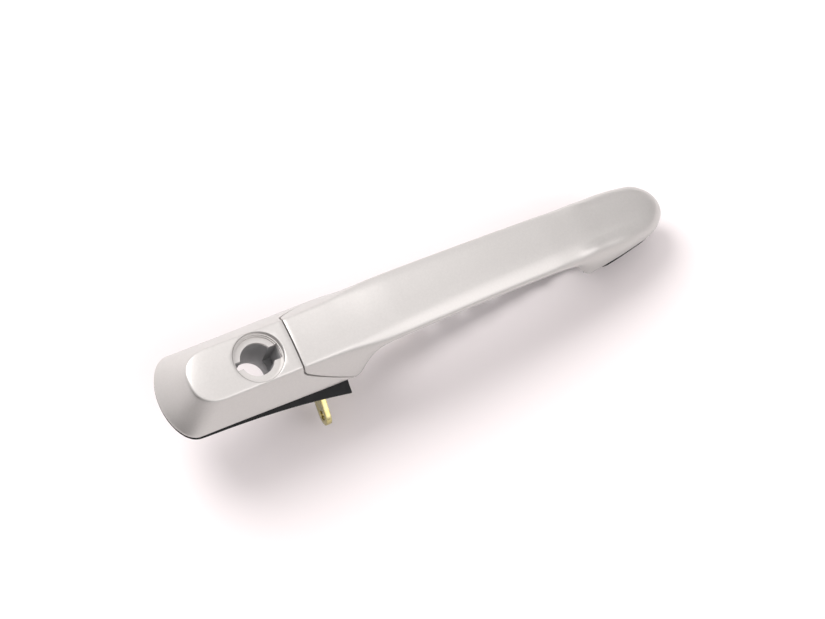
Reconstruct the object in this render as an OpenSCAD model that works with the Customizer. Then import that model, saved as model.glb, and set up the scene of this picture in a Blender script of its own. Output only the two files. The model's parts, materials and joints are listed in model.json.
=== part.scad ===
// Pull-type car door handle: end cap with lock bore, grip hinged at its front foot,
// carrier behind the door skin, and the release lever that the grip's tail hook lifts.
// X runs from the end cap to the nose, Z points away from the door, Y is across.
// The origin is on the lock axis, level with the cap's bottom edge.

/* [Handle] */
// Height of the end cap's flat top above its bottom edge
cap_h = 18.3; // [16:0.1:20]
// Wall of the cap and grip mouldings
wall = 2.4; // [2:0.1:2.6]
// Gap between the cap and the grip along the parting line
part_gap = 0.5; // [0.4:0.1:0.8]

/* [Lock] */
// Radius of the recess around the key hole
recess_r = 10.4; // [10:0.1:10.6]
// Depth of that recess
recess_depth = 4.1; // [3.5:0.1:4.5]
// Radius of the bore for the lock cylinder
lock_r = 7; // [6.5:0.1:7.2]
// Lowest point of the lock tube
tube_bottom = -13.5; // [-16:0.5:-13.5]
// Outer radius of the lock tube
tube_r = 11.6; // [11.4:0.1:11.8]
// Height where the two notches of the lock bore end
notch_bottom = -4; // [-8:0.5:2]

/* [Grip pivot] */
// Distance from the lock axis to the grip's pivot pin
pivot_x = 188; // [186:0.5:188]
// Height of the pivot pin
pivot_z = -4; // [-5:0.1:-4]
// Radius of the pivot pin
pivot_r = 1.5; // [1.4:0.1:1.6]

/* [Release lever] */
// Place of the lever's pin across the handle
lever_y = -9; // [-9.5:0.1:-8.5]
// Height of the lever's pin
lever_z = -22; // [-23:0.1:-21]
// Length of the inner arm that the tail hook lifts
inner_arm = 18.2; // [18:0.05:18.4]
// Downward slope of the inner arm at rest
inner_slope = 22.75; // [22:0.05:23]
// Length of the outer arm that pushes the latch rod
outer_arm = 15.4; // [14.5:0.1:17]
// Downward slope of the outer arm at rest
outer_slope = 24; // [20:0.5:26]
// Radius of the latch rod's hole
rod_r = 2.25; // [2:0.05:2.5]

/* [Hidden] */
$fn = 48;

cap_end = -41;          // left end of the handle at its bottom edge
nose_end = 198.6;       // right end
part_x = 15;            // parting line between cap and grip, on top
part_z = 13.6;            // where the parting line turns forward on the sides
part_foot = [38, 0];    // where it reaches the bottom edge
plate_z = [-10.5, -7];  // rear plate of the carrier, bottom and top
lever_x = [26.8, 29.2]; // the lever plate's two faces
run = 0.05;             // radial clearance of a pin that turns
cap_screw_at = [[-24, 0], [12.8, 10.5], [12.8, -10.5]];
housing_screw_y = 13.7;
cover_screw_at = [68, 128];
arm_screw_at = [163, 173];
hook_screw_at = [29, 40];
rail_insert_at = [72, 140];

// Section of the handle at stations along X:
// x, crown height, ridge half-width and height, shoulder half-width and height, rim half-width
// and height, then how far the ridges and the shoulders lean together towards +Y. The rim is the
// lowest edge: at the foot of the cap it is 0, under the grip it arches.
stations = [
    [-41, 18.3, 11.4, 17.5, 15.4,  6.5, 18.1,  0.0, 0.0, 0.0],
    [-12, 18.3, 11.0, 17.5, 15.2,  9.0, 18.2,  0.0, 0.0, 0.0],
    [ 15, 18.3, 10.7, 17.5, 14.8, 10.0, 18.5,  0.0, 0.0, 0.0],
    [ 36, 19.5, 10.9, 18.5, 14.6, 12.0, 18.6,  0.0, 0.1, 0.0],
    [ 41, 19.9, 11.0, 18.9, 14.4, 13.5, 18.2,  0.6, 0.2, 0.0],
    [ 46, 20.4, 10.9, 19.4, 14.2, 15.0, 14.8,  7.0, 0.2, 0.0],
    [ 52, 21.1, 10.9, 20.0, 14.0, 16.2, 11.6, 10.8, 0.3, 0.0],
    [ 62, 22.0, 10.7, 20.9, 13.8, 17.4, 10.2, 12.5, 0.4, 0.0],
    [100, 23.5,  9.8, 22.3, 13.2, 18.7,  9.5, 13.2, 0.7, 0.0],
    [132, 23.1,  9.2, 21.9, 12.9, 18.2,  9.6, 12.6, 0.8, 0.0],
    [145, 22.3,  8.5, 21.1, 13.0, 17.0, 10.8, 10.6, 1.1, 0.0],
    [150, 21.9,  8.2, 20.6, 13.1, 16.6, 13.0,  4.0, 1.3, 0.1],
    [154, 21.4,  7.9, 20.1, 13.2, 16.2, 14.7,  0.4, 1.4, 0.2],
    [158, 20.8,  7.7, 19.5, 13.1, 15.6, 14.4,  0.3, 1.5, 0.3],
    [170, 18.9,  7.2, 17.7, 13.0, 13.9, 12.6,  0.3, 1.8, 0.7],
    [184, 16.2,  6.0, 15.3, 11.4, 11.2,  9.8,  0.5, 2.2, 1.5],
    [199, 12.8,  4.9, 11.9,  8.8,  8.8,  7.1,  1.6, 2.4, 1.8]];
// Each ring's left end, right end, and how long its round ends are: ridge, shoulder, rim
ring_ends = [[-30.4, 191.4, 13, 12, 2.4], [-36.3, 195.3, 12, 12.5, 2.2],
    [-41, nose_end, 10.5, 16, 2]];
station_x = concat([for (a = [0:11.25:90]) cap_end + 13 * (1 - cos(a))], [for (x = [-24:6:34]) x],
    [for (x = [38:2:56]) x], [for (x = [60:6:138]) x], [for (x = [142:2:156]) x],
    [for (x = [160:6:178]) x], [for (a = [90:-11.25:0]) nose_end - 16 * (1 - cos(a))]);

// Smooth curve through column k of a table, whose first column is x
function span_of(t, x, i = 0) = i >= len(t) - 2 || x < t[i + 1][0] ? i : span_of(t, x, i + 1);
function slope_at(t, i, k) = let (a = t[max(0, i - 1)], b = t[min(len(t) - 1, i + 1)])
    (b[k] - a[k]) / (b[0] - a[0]);
function curve(t, x, k) = let (i = span_of(t, x), a = t[i], b = t[i + 1], h = b[0] - a[0],
    u = min(1, max(0, (x - a[0]) / h)), m = slope_at(t, i, k) * h, n = slope_at(t, i + 1, k) * h)
    a[k] * (1 + 2 * u) * (1 - u) * (1 - u) + m * u * (1 - u) * (1 - u)
    + b[k] * u * u * (3 - 2 * u) - n * u * u * (1 - u);
function rim_height(x) = curve(stations, x, 7);
function lean(x, k) = k == 2 ? 0 : curve(stations, x, 8 + k);
function round_end(d, reach, n) = d >= reach ? 1 : d <= 0 ? 0 : pow(1 - pow(1 - d / reach, n), 1 / n);
// A ring's own x at a station: the rings above the rim start later and end sooner
function ring_x(x, e, t) =
    x + (e[0] + t - cap_end) * min(1, max(0, (-12 - x) / (-12 - cap_end)))
    + (e[1] - t - nose_end) * min(1, max(0, (x - 170) / (nose_end - 170)));
// Point of ring k (0 ridge, 1 shoulder, 2 rim) at a station, inset by t
function ring_point(x, k, t, side, drop) = let (e = ring_ends[k], xr = ring_x(x, e, t),
    full = curve(stations, xr, 2 + 2 * k) - t,
    ends = round_end(xr - e[0] - t, e[2] - t / 2, e[4]) * round_end(e[1] - t - xr, e[3] - t, e[4]),
    z = curve(stations, xr, 3 + 2 * k) - (k == 0 ? t : k == 1 ? 0.4 * t : drop))
    [xr, side * max(0.3, full * ends) + lean(xr, k), z];
function crown_point(x, t, part) = let (r = ring_point(x, 0, t, part, 0), l = lean(r[0], 0),
    rise = curve(stations, r[0], 1) - curve(stations, r[0], 3),
    ends = round_end(r[0] - ring_ends[0][0], 6, 2) * round_end(ring_ends[0][1] - r[0], 12, 2))
    [r[0], l + 0.55 * (r[1] - l),
        r[2] + (abs(part) < 0.1 ? rise * ends + 0.12 : 0.75 * rise * ends + 0.08)];
function section(x, t, drop) = let (f = [for (k = [2:-1:0]) ring_point(x, k, t, 1, drop)],
    n = [for (k = [0:2]) ring_point(x, k, t, -1, drop)])
    concat(f, [crown_point(x, t, 1), crown_point(x, t, 0), crown_point(x, t, -1)], n,
        [[f[0][0], 0, f[0][2] - 0.1]]);

// Solid inside the handle's outer surface, inset by t, its bottom lowered by drop
module form(t = 0, drop = 0) {
    rows = [for (x = station_x) section(x, t, drop)];
    p = len(rows[0]);
    m = len(rows);
    ends = [[9, 0, 8], [0, 1, 7], [0, 7, 8], [1, 2, 6], [1, 6, 7], [2, 3, 5], [2, 5, 6], [3, 4, 5]];
    polyhedron([for (r = rows) each r], concat(
        [for (j = [0:m - 2], i = [0:p - 1]) [j * p + i, (j + 1) * p + i, j * p + (i + 1) % p]],
        [for (j = [0:m - 2], i = [0:p - 1])
            [j * p + (i + 1) % p, (j + 1) * p + i, (j + 1) * p + (i + 1) % p]],
        [for (f = ends) f], [for (f = ends) [for (i = [2:-1:0]) f[i] + (m - 1) * p]]));
}

// A prism across the handle, from an outline in X and Z
module across(outline, width, y = 0) {
    translate([0, y + width / 2, 0]) rotate([90, 0, 0]) linear_extrude(width) polygon(outline);
}
// A cylinder along X or Y
module bar_x(x, y, z, r, len) translate([x, y, z]) rotate([0, 90, 0]) cylinder(r = r, h = len);
module bar_y(x, z, r, width) translate([x, width / 2, z]) rotate([90, 0, 0]) cylinder(r = r, h = width);
module block(a, b) translate(a) cube(b - a);

// The cap lies behind this line, the grip in front of it, moved on by gap
function part_line(gap) = [[part_x + gap, 60], [part_x + gap, part_z + gap],
    [part_foot[0] + gap, part_foot[1] - 0.1], [part_foot[0] + gap, -20]];
module cap_side() across(concat(part_line(0), [[-60, -20], [-60, 60]]), 80);
module grip_side() across(concat(part_line(part_gap), [[230, -20], [230, 60]]), 80);

// Round hole from z = a up to b, with a wide and a narrow notch above notch_bottom
module key_hole(a, b) {
    low = max(a, notch_bottom);
    translate([0, 0, a]) cylinder(r = lock_r, h = b - a);
    block([0, -3, low], [9.6, 3, b]);
    block([-9.4, -1.7, low], [0, 1.7, b]);
}

module cap_shell() {
    ledge = cap_h - recess_depth;
    color("silver") difference() {
        union() {
            intersection() {
                difference() { form(); form(wall, 4); }
                cap_side();
            }
            intersection() {
                form();
                union() {
                    translate([0, 0, ledge - 1.6]) cylinder(r = recess_r + 1.8, h = 20);
                    block([part_x - 1.8, -30, 6], [part_x, 30, 40]);
                    for (p = cap_screw_at) translate([p[0], p[1], 0.2])
                        cylinder(r = 2.8, h = p[0] < 0 ? 17 : 11);
                }
            }
            for (p = cap_screw_at) translate([p[0], p[1], plate_z[1]]) cylinder(r = 2.8, h = 8);
        }
        translate([0, 0, ledge]) cylinder(r = recess_r, h = 20, $fn = 96);
        key_hole(ledge - 5, ledge + 5);
        for (p = cap_screw_at) translate([p[0], p[1], plate_z[1] - 1]) cylinder(r = 1.3, h = 14);
    }
}

module lock_housing() {
    top = cap_h - recess_depth - 1.6;
    color("dimgray") difference() {
        union() {
            translate([0, 0, tube_bottom]) cylinder(r = tube_r, h = 8.5 - tube_bottom, $fn = 96);
            intersection() {
                translate([0, 0, 8]) cylinder(r = tube_r, h = top - 8, $fn = 96);
                block([-20, -9.4, 8], [20, 9.4, 20]);
            }
            translate([0, 0, plate_z[0] - 2]) cylinder(r = 13.4, h = 2);
            for (s = [-1, 1]) translate([0, s * housing_screw_y, plate_z[0] - 2]) cylinder(r = 2.3, h = 2);
        }
        key_hole(tube_bottom - 1, top + 1);
        for (s = [-1, 1]) translate([0, s * housing_screw_y, plate_z[0] - 3]) cylinder(r = 1.1, h = 4);
    }
}

// Rear gasket: a web that follows the cap's rim, with a lip on the -Y side that flares towards
// the grip
gasket_end = 36;
function gasket_part(x) = max(0, (x - cap_end) / (gasket_end - cap_end));
function gasket_depth(x) = 1.7 + 4.5 * pow(gasket_part(x), 1.3);
function gasket_flare(x, side) = side > 0 ? -0.25
    : -0.25 + 0.65 * min(1, 6 * gasket_part(x)) + 4.2 * pow(gasket_part(x), 3);
gasket_top = -0.12;
gasket_x = concat([for (a = [0:9:90]) cap_end + 10.5 * (1 - cos(a))],
    [for (x = [-27:7:gasket_end]) x], [gasket_end]);
function gasket_section(x, side) = let (p = ring_point(x, 2, 0, side, 0),
    q = ring_point(x, 2, 1, side, 0), w = p[1] - q[1], out = norm([p[0] - q[0], w]),
    n = [(p[0] - q[0]) / out, w / out], d = gasket_depth(x), f = gasket_flare(x, side))
    [for (s = [[-0.3, gasket_top], [-0.7, -0.4 * d], [f, -0.72 * d], [f, -d], [-4, -d], [-4, gasket_top]])
        [p[0] + n[0] * s[0], (abs(p[1]) < 0.5 ? 0 : p[1]) + n[1] * s[0], s[1]]];

module rear_gasket() {
    rows = concat([for (i = [len(gasket_x) - 1:-1:1]) gasket_section(gasket_x[i], -1)],
        [for (i = [1:len(gasket_x) - 1]) gasket_section(gasket_x[i], 1)]);
    m = len(rows);
    color("#1b1b1c") polyhedron([for (r = rows) each r], concat(
        [for (j = [0:m - 2], i = [0:5]) [j * 6 + i, j * 6 + (i + 1) % 6, (j + 1) * 6 + i]],
        [for (j = [0:m - 2], i = [0:5])
            [j * 6 + (i + 1) % 6, (j + 1) * 6 + (i + 1) % 6, (j + 1) * 6 + i]],
        [[5, 4, 3, 2, 1, 0]], [[for (i = [0:5]) (m - 1) * 6 + i]]));
}

// Front gasket: a flat ring under the grip's front foot, tucked in behind the foot's rear corners
function tuck(x) = let (u = min(1, max(0, (x - 157) / 8))) 2 * (1 - u * u * (3 - 2 * u));
function foot_outline(grow, start) = let (xs = concat([for (x = [start:3:180]) x],
    [for (a = [90:-10:0]) nose_end - 16 * (1 - cos(a))]),
    side = [for (x = xs) let (p = ring_point(x, 2, -grow, 1, 0))
        [p[0], x >= nose_end ? 0 : p[1] - tuck(x)]])
    concat(side, [for (i = [len(side) - 2:-1:0]) [side[i][0], -side[i][1]]]);

module front_gasket() {
    color("#1b1b1c") translate([0, 0, -1.6]) difference() {
        linear_extrude(1.6) polygon(foot_outline(0.4, 153));
        translate([0, 0, -1]) linear_extrude(4) polygon(foot_outline(-1.6, 156));
    }
}

// The rail dips under the door's finger recess, from the rear plate to the hinge seat
rail_top = [[40, -7], [56, -16], [152, -16], [170, -3.2], [183, -3.2]];
module carrier() {
    ear_x = [[20, 23], [32.2, 35]];
    color("#222224") difference() {
        union() {
            block([-36, -13.5, plate_z[0]], [44, 13.5, plate_z[1]]);
            block([-8, -16.2, plate_z[0]], [8, 16.2, plate_z[1]]);
            translate([0, 0, plate_z[1]]) cylinder(r = 13.4, h = 3);
            block([-36, -6, -17], [-27, 6, plate_z[1]]);
            for (e = ear_x) {
                block([e[0], lever_y - 5, lever_z], [e[1], lever_y + 5, plate_z[1]]);
                bar_x(e[0], lever_y, lever_z, 5, e[1] - e[0]);
            }
            across(concat(rail_top, [for (i = [4:-1:0]) rail_top[i] - [i < 2 ? 2 : i > 2 ? -1 : 0, 4]]),
                10, 2);
            for (x = rail_insert_at) translate([x, 2, -21]) cylinder(r = 6, h = 5);
            block([178, -4.9, -7.2], [pivot_x - 1, 4.9, -3.2]);
            for (s = [-1, 1]) {
                block([178, min(s * 3.3, s * 4.9), -7.2], [pivot_x, max(s * 3.3, s * 4.9), -1.7]);
                translate([0, s * 4.1, 0]) bar_y(pivot_x, pivot_z, 3.2, 1.6);
            }
            translate([0, 2, 0]) for (x = [60:16:148]) block([x, -5, -16.5], [x + 1.6, 5, -14.2]);
        }
        translate([0, 0, -30]) cylinder(r = tube_r + 0.15, h = 40);
        for (p = cap_screw_at) translate([p[0], p[1], -30]) cylinder(r = 1.7, h = 40);
        for (s = [-1, 1]) translate([0, s * housing_screw_y, -30]) cylinder(r = 1.1, h = 40);
        block([29.5, 1.5, -12], [38, 12, 0]);
        bar_x(10, lever_y, lever_z, 2, 30);
        bar_y(pivot_x, pivot_z, pivot_r, 20);
        block([183.5, -3.3, -9], [200, 3.3, 5]);
        block([176, -8, -1.7], [200, 8, 2]);
        for (x = rail_insert_at) translate([x, 2, -22]) cylinder(r = 4, h = 9.5);
        bar_x(-40, 0, -12, 4, 10);
        for (x = [84:16:132]) translate([x + 0.8, 2, -30]) cylinder(r = 3, h = 40);
    }
}

// Pan-head screw with its tip up: the head's flat face is at z = 0
module screw(r, head_r, head_h, len) {
    difference() {
        union() {
            cylinder(r = r, h = len - r);
            translate([0, 0, len - r]) cylinder(r1 = r, r2 = 0.3, h = r);
            translate([0, 0, -head_h]) cylinder(r = head_r, h = head_h);
        }
        for (a = [0, 90]) rotate([0, 0, a]) translate([-head_r * 0.6, -0.35, -head_h - 1])
            cube([head_r * 1.2, 0.7, 1 + head_h * 0.55]);
    }
}
module cap_screws() color("silver") for (p = cap_screw_at)
    translate([p[0], p[1], plate_z[0]]) screw(1.3, 2.8, 1.8, 14);
module housing_screws() color("silver") for (s = [-1, 1])
    translate([0, s * housing_screw_y, plate_z[0] - 2]) screw(1.1, 2, 1.4, 5.2);

module lever_pin() color("silver") difference() {
    union() {
        bar_x(18.6, lever_y, lever_z, 3, 1.4);
        bar_x(20, lever_y, lever_z, 2, 17);
    }
    difference() {
        bar_x(35.2, lever_y, lever_z, 3, 0.8);
        bar_x(35, lever_y, lever_z, 1.5, 1.2);
    }
}
module lever_clip() color("gray") difference() {
    bar_x(35.25, lever_y, lever_z, 3.6, 0.7);
    bar_x(35, lever_y, lever_z, 1.5, 2);
    block([35, lever_y - 1.4, lever_z], [36.2, lever_y + 1.4, lever_z + 5]);
}

// Torsion spring: coiled round the pin, one leg up to the carrier, one along the lever's inner
// arm, where it rests on a peg
spring_r = 3.5;
wire_r = 0.5;
spring_turn = 990 + inner_slope; // the coil's end points along the inner arm
spring_leg = 11;
function coil_at(a) = [23.6 + a / spring_turn * 2.5, spring_r * cos(a), -spring_r * sin(a)];
spring_path = concat([[23.6, spring_r, 10.8]],
    [for (i = [0:56]) coil_at(spring_turn * i / 56)],
    [coil_at(spring_turn) + spring_leg * [0, cos(inner_slope), -sin(inner_slope)]]);
function unit(v) = v / norm(v);
function sweep_ring(path, i, r, sides) = let (t = unit(path[min(len(path) - 1, i + 1)]
    - path[max(0, i - 1)]), u = unit(cross(t, [1, 0.02, 0.01])), v = cross(t, u))
    [for (a = [0:360 / sides:359]) path[i] + r * (u * cos(a) + v * sin(a))];
module sweep(path, r, sides) {
    n = len(path);
    polyhedron([for (i = [0:n - 1]) each sweep_ring(path, i, r, sides)], concat(
        [for (j = [0:n - 2], i = [0:sides - 1])
            [j * sides + i, j * sides + (i + 1) % sides, (j + 1) * sides + i]],
        [for (j = [0:n - 2], i = [0:sides - 1])
            [j * sides + (i + 1) % sides, (j + 1) * sides + (i + 1) % sides, (j + 1) * sides + i]],
        [[for (i = [sides - 1:-1:0]) i]], [[for (i = [0:sides - 1]) (n - 1) * sides + i]]));
}
module lever_spring() color("gray") translate([0, lever_y, lever_z]) sweep(spring_path, wire_r, 8);

clip_y = 5.25; // the clip's groove in the front pin
module front_pin() color("silver") difference() {
    union() {
        bar_y(pivot_x, pivot_z, pivot_r, 11.8);
        translate([0, 5.4, 0]) bar_y(pivot_x, pivot_z, 2.4, 0.9);
    }
    translate([0, -clip_y, 0]) difference() {
        bar_y(pivot_x, pivot_z, 3, 0.6);
        bar_y(pivot_x, pivot_z, 1.1, 1);
    }
}
module front_clip() color("gray") translate([0, -clip_y, 0]) difference() {
    bar_y(pivot_x, pivot_z, 2.6, 0.5);
    bar_y(pivot_x, pivot_z, 1.1, 1);
    block([pivot_x - 1, -1, pivot_z], [pivot_x + 1, 1, pivot_z + 4]);
}

module insert(r, bore, len) difference() {
    cylinder(r = r, h = len);
    translate([0, 0, -1]) cylinder(r = bore, h = len + 2);
}
module rail_inserts() color("goldenrod") for (x = rail_insert_at)
    translate([x, 2, -21]) insert(4, 2.5, 5);
module rear_insert() color("goldenrod") translate([-36, 0, -12]) rotate([0, 90, 0]) insert(4, 2.5, 6);

module grip_shell() {
    color("silver") difference() {
        union() {
            intersection() {
                difference() { form(); form(wall, 4); }
                grip_side();
            }
            intersection() {
                form();
                grip_side();
                union() {
                    block([part_x, -30, 0], [part_x + part_gap + 1.8, 30, 40]);
                    across([[part_x, part_z + 3.4], [part_x, part_z - 4], [29.5, 0], [29.5, 7.2]], 60);
                    for (x = cover_screw_at) translate([x, 0, 19.4]) cylinder(r = 2.8, h = 10);
                }
            }
        }
        for (x = cover_screw_at) translate([x, 0, 10]) cylinder(r = 1.1, h = 11.5);
    }
}

cover_t = 2.4;
module grip_cover() {
    xs = [for (x = [39:1.5:153.5]) x];
    color("#2a2a2c") difference() {
        intersection() {
            form(wall + 0.15, 4);
            across(concat([for (x = xs) [x, rim_height(x) + cover_t]],
                [for (i = [len(xs) - 1:-1:0]) [xs[i], rim_height(xs[i]) + 0.2]]), 60);
        }
        for (x = cover_screw_at) translate([x, 0, 0]) {
            cylinder(r = 1.5, h = 30);
            cylinder(r = 3.2, h = rim_height(x) + 1);
        }
    }
}

core_line = [[23, 13], [46, 13], [74, 17], [104, 17.8], [132, 17], [158, 11], [179, 11]];
module core_plate() color("gray") difference() {
    across(concat(core_line, [for (i = [6:-1:0]) core_line[i] + [0, 1.5]]), 9);
    for (x = cover_screw_at) translate([x, 0, 0]) cylinder(r = 3.3, h = 40);
    for (x = concat(arm_screw_at, hook_screw_at)) translate([x, 0, 0]) cylinder(r = 1.5, h = 40);
}

eye_r = 3.1;
bush_r = 2.2;
module hinge_arm() color("#b9b9b6") difference() {
    union() {
        block([158, -4.4, 8], [179, 4.4, 11]);
        across([[172, 9], [179, 9], [181.5, 7.5], [190.6, -2.6], [185.4, -5.2], [178, 4]], 5.6);
        bar_y(pivot_x, pivot_z, eye_r, 5.6);
    }
    bar_y(pivot_x, pivot_z, bush_r, 10);
    for (x = arm_screw_at) translate([x, 0, 0]) cylinder(r = 1.2, h = 40);
}
module hinge_bush() color("#e8e6dc") difference() {
    bar_y(pivot_x, pivot_z, bush_r, 6);
    bar_y(pivot_x, pivot_z, pivot_r + run, 8);
}

hook_x = [32.5, 35];
lip_z = lever_z - inner_arm * sin(inner_slope) - 3.5;
module tail_hook() color("#b9b9b6") difference() {
    union() {
        block([26, -5, 11], [44, 9.5, 13]);
        block([hook_x[0], 4.5, lip_z - 2.6], [hook_x[1], 9.5, 12]);
        block([30, 4.5, 8.4], [hook_x[1] + 3, 9.5, 12]);
        block([25.5, 7.4, lip_z - 2.6], [hook_x[1], 11.5, lip_z]);
    }
    for (x = hook_screw_at) translate([x, 0, 0]) cylinder(r = 1.2, h = 40);
}
// Screws that pass down through the core plate, head on top
module down_screws(xs, z, len) color("silver") for (x = xs)
    translate([x, 0, z]) rotate([180, 0, 0]) screw(1.2, 2.4, 1, len);
module arm_screws() down_screws(arm_screw_at, 12.5, 4.2);
module hook_screws() down_screws(hook_screw_at, 14.5, 3.4);
module cover_screws() color("silver") for (x = cover_screw_at)
    translate([x, 0, rim_height(x) + 1]) screw(1.1, 2.9, 0.9, 20.4 - rim_height(x));

function lever_at(len, angle) = [lever_y + len * cos(angle), lever_z + len * sin(angle)];
inner_tip = lever_at(inner_arm, -inner_slope);
outer_tip = lever_at(outer_arm, 180 + outer_slope);
// Peg under the spring's leg
peg_r = 0.9;
peg = lever_at(9.5, -inner_slope)
    + (spring_r - wire_r - peg_r - 0.02) * [sin(inner_slope), cos(inner_slope)];
module lever_plate_arm(tip, root_r, tip_r) {
    translate([lever_x[0], 0, 0]) rotate([90, 0, 90]) linear_extrude(lever_x[1] - lever_x[0]) hull() {
        translate([lever_y, lever_z]) circle(r = root_r);
        translate(tip) circle(r = tip_r, $fn = 32);
    }
}
module release_lever() color("#c9a23a") difference() {
    union() {
        lever_plate_arm(inner_tip, 5.4, 3);
        lever_plate_arm(outer_tip, 5.4, 4.6);
        bar_x(lever_x[0], lever_y, lever_z, 5, 4.6);
        bar_x(lever_x[0] - 1.2, peg[0], peg[1], peg_r, 2);
    }
    bar_x(20, lever_y, lever_z, 3, 20);
    bar_x(20, outer_tip[0], outer_tip[1], rod_r, 20);
}
module lever_bush() color("#e8e6dc") difference() {
    bar_x(lever_x[0] - 0.1, lever_y, lever_z, 3, 5);
    bar_x(20, lever_y, lever_z, 2 + run, 20);
}

cap_shell();
lock_housing();
rear_gasket();
front_gasket();
carrier();
cap_screws();
housing_screws();
lever_pin();
lever_clip();
lever_spring();
front_pin();
front_clip();
rail_inserts();
rear_insert();
grip_shell();
grip_cover();
core_plate();
hinge_arm();
hinge_bush();
tail_hook();
arm_screws();
hook_screws();
cover_screws();
release_lever();
lever_bush();
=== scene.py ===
# %% [markdown]
# # A pull-type car door handle
# The handle lies face up on a pale table: a painted end cap with the lock's key hole, a painted
# pull grip hinged at its nose, black gaskets, and the carrier and release lever that sit behind the
# door skin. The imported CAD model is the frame. Mechanical parts keep their CAD shape and get fine
# rounded edges and real finishes; the painted mouldings, the grip's cover, the gaskets and the
# spring are modelled anew, smooth.

# %% Load the frame
import json
import math

import bpy
from mathutils import Matrix, Vector

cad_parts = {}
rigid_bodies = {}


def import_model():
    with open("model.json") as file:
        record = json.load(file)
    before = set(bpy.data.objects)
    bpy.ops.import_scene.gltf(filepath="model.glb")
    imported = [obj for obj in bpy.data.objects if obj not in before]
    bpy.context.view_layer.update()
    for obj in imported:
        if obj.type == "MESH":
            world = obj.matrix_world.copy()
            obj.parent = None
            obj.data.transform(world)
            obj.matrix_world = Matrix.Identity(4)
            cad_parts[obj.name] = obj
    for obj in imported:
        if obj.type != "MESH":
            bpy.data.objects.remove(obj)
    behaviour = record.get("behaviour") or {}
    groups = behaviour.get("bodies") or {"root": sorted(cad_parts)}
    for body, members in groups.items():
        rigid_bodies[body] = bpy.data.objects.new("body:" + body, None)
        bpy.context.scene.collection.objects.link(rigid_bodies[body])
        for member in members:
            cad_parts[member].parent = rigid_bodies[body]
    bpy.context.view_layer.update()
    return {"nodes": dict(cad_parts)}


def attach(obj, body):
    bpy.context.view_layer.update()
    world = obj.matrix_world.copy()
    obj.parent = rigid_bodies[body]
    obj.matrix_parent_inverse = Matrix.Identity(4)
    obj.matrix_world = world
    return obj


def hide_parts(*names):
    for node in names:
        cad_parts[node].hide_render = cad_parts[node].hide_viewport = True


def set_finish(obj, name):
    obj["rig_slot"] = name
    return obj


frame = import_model()
MM = 0.001


# %% Helpers: selection, edit mode and modifiers
def deselect_all():
    if bpy.context.object and bpy.context.object.mode != "OBJECT":
        bpy.ops.object.mode_set(mode="OBJECT")
    bpy.ops.object.select_all(action="DESELECT")


def make_active(piece):
    deselect_all()
    piece.select_set(True)
    bpy.context.view_layer.objects.active = piece


def named(name):
    piece = bpy.context.object
    piece.name = piece.data.name = name
    return piece


def place_in_mesh(piece):
    """Moves the piece's place into its mesh, so the object itself sits at the origin."""
    make_active(piece)
    bpy.ops.object.transform_apply(location=True, rotation=True, scale=True)


def merge_and_face_out(piece, distance=0.005):
    make_active(piece)
    bpy.ops.object.mode_set(mode="EDIT")
    bpy.ops.mesh.select_all(action="SELECT")
    bpy.ops.mesh.remove_doubles(threshold=distance * MM)
    bpy.ops.mesh.normals_make_consistent(inside=False)
    bpy.ops.object.mode_set(mode="OBJECT")


def modify(piece, kind, **settings):
    """Adds one modifier with its settings and applies it."""
    make_active(piece)
    modifier = piece.modifiers.new(kind.lower(), kind)
    for key, value in settings.items():
        setattr(modifier, key, value)
    bpy.ops.object.modifier_apply(modifier=modifier.name)


def cut_or_join(piece, other, operation):
    """Boolean with another piece, which is used up."""
    modify(piece, "BOOLEAN", operation=operation, solver="MANIFOLD", object=other)
    bpy.data.objects.remove(other)


def round_edges(piece, width, angle=40):
    modify(piece, "BEVEL", width=width * MM, segments=2, limit_method="ANGLE",
           angle_limit=math.radians(angle), use_clamp_overlap=True)


def smooth_by_angle(piece, degrees=32):
    make_active(piece)
    bpy.ops.object.shade_smooth_by_angle(angle=math.radians(degrees))


# %% [markdown]
# ## The outside of the handle as a few long lines
# A moulding like this is drawn as long lines that run from the cap to the nose: the crown along the
# middle, the ridge where the top turns into the side, the shoulder half way down, and the rim at the
# bottom. Each line is a short list of stations in millimetres, and a smooth curve joins them. They
# are the same lines as in the CAD model, so the visible mouldings follow its walls closely.

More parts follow.
